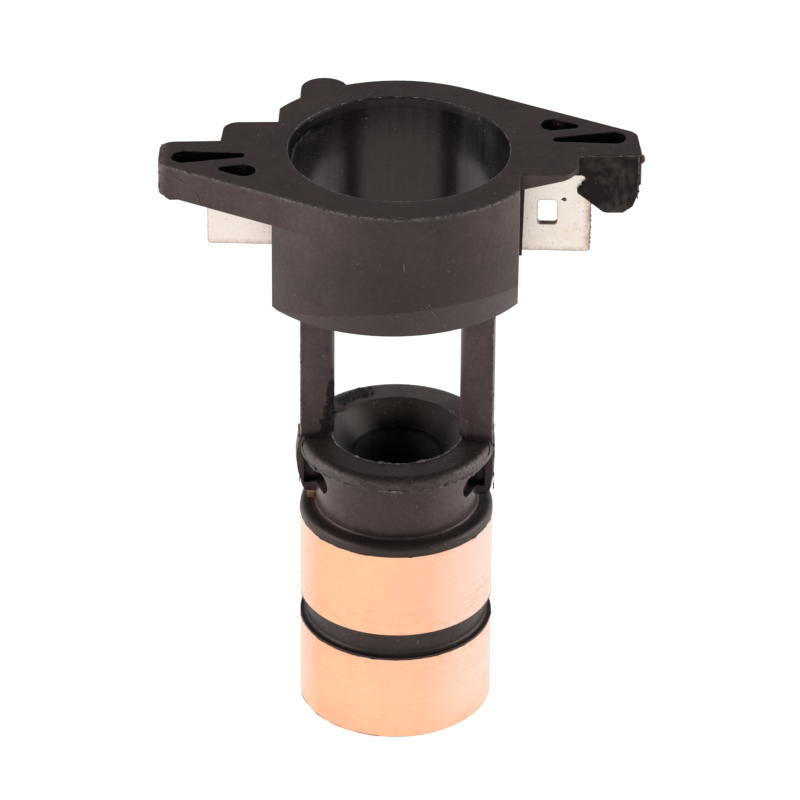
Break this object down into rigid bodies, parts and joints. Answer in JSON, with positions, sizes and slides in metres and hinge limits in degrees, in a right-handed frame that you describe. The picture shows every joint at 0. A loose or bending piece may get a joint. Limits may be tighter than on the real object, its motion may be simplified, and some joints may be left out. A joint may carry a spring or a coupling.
{
  "type": "alternator slip ring",
  "caption": "Black moulded slip ring unit: bored collar with slotted hooked arms, legs down to a neck with copper ring tracks, and flat tinned plates for the winding ends.",
  "frame": {"origin": "on the shaft's axis, in the plane of the lower end face", "axes": "+Z along the shaft's axis from the rings towards the collar, +X along the arm with the deeper hook, +Y to the back, where the round lug stands"},
  "size_m": [0.0377, 0.023, 0.0499],
  "materials": {
    "moulded_body": "satin brown-black moulding",
    "upper_slip_ring": "fine turned copper",
    "lower_slip_ring": "fine turned copper",
    "upper_ring_conductor": "dull tinned copper",
    "lower_ring_conductor": "dull tinned copper"
  },
  "bodies": {
    "root": {"moulded_body": "moulded_body", "upper_slip_ring": "upper_slip_ring", "lower_slip_ring": "lower_slip_ring", "upper_ring_conductor": "upper_ring_conductor", "lower_ring_conductor": "lower_ring_conductor"}
  },
  "joints": []
}
